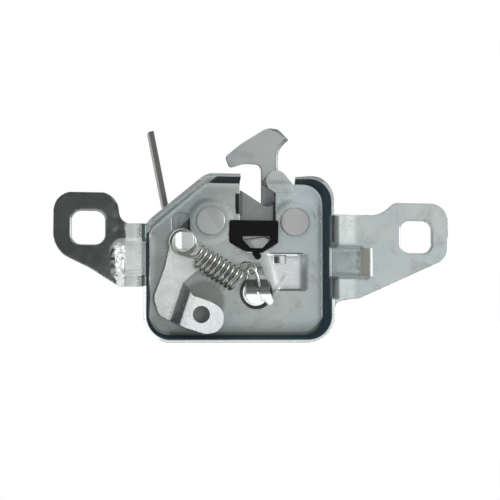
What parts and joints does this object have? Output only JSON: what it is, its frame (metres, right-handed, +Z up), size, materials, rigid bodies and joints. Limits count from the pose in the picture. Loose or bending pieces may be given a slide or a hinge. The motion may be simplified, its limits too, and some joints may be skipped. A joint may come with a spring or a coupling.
{
  "type": "bonnet latch",
  "caption": "Pressed steel bonnet latch: tray with two bolt ears, rotary claw, pawl with cable lever, return spring and safety hook with finger blade.",
  "frame": {"origin": "on the left ear's rear face, just above its bolt hole", "axes": "+Z up as fitted, +X to the right as seen from the side with the release lever, -Y toward that side; +Y is the ears' rear face normal"},
  "size_m": [0.1894, 0.0445, 0.1057],
  "materials": {
    "zinc_plate": "satin zinc plate",
    "bright_zinc": "bright zinc plate",
    "spring_wire": "dark spring wire",
    "black_rubber": "matt"
  },
  "bodies": {
    "housing": {"latch_plate": "zinc_plate", "back_plate": "zinc_plate", "striker_buffer": "black_rubber", "claw_rivet": "zinc_plate", "hook_rivet": "zinc_plate", "claw_sleeve": "bright_zinc", "pawl_sleeve": "bright_zinc", "hook_sleeve": "bright_zinc", "claw_washer": "bright_zinc", "pawl_washer": "bright_zinc", "hook_washer": "bright_zinc", "release_spring": "spring_wire", "claw_spring": "spring_wire", "hook_spring": "spring_wire"},
    "claw_body": {"claw": "zinc_plate"},
    "release_body": {"pawl": "zinc_plate", "lever_post": "bright_zinc", "release_lever": "bright_zinc"},
    "hook_body": {"safety_hook": "zinc_plate"}
  },
  "joints": [
    {"name": "claw_turn", "type": "hinge", "parent": "housing", "child": "claw_body", "pos_m": [0.099, 0.0126, -0.0068], "axis": [0, -1, 0], "range_deg": [0, 29], "stiffness_Nm_per_rad": 0.02, "springref_deg": -11.46, "deforming": ["claw_spring"]},
    {"name": "pawl_turn", "type": "hinge", "parent": "housing", "child": "release_body", "pos_m": [0.058, 0.0126, -0.0068], "axis": [0, -1, 0], "range_deg": [-2, 7], "stiffness_Nm_per_rad": 0.05, "springref_deg": 11.46, "deforming": ["release_spring"]},
    {"name": "hook_turn", "type": "hinge", "parent": "housing", "child": "hook_body", "pos_m": [0.058, 0.0233, -0.0068], "axis": [0, -1, 0], "range_deg": [-24, 0], "stiffness_Nm_per_rad": 0.02, "springref_deg": 11.46, "deforming": ["hook_spring"]}
  ]
}
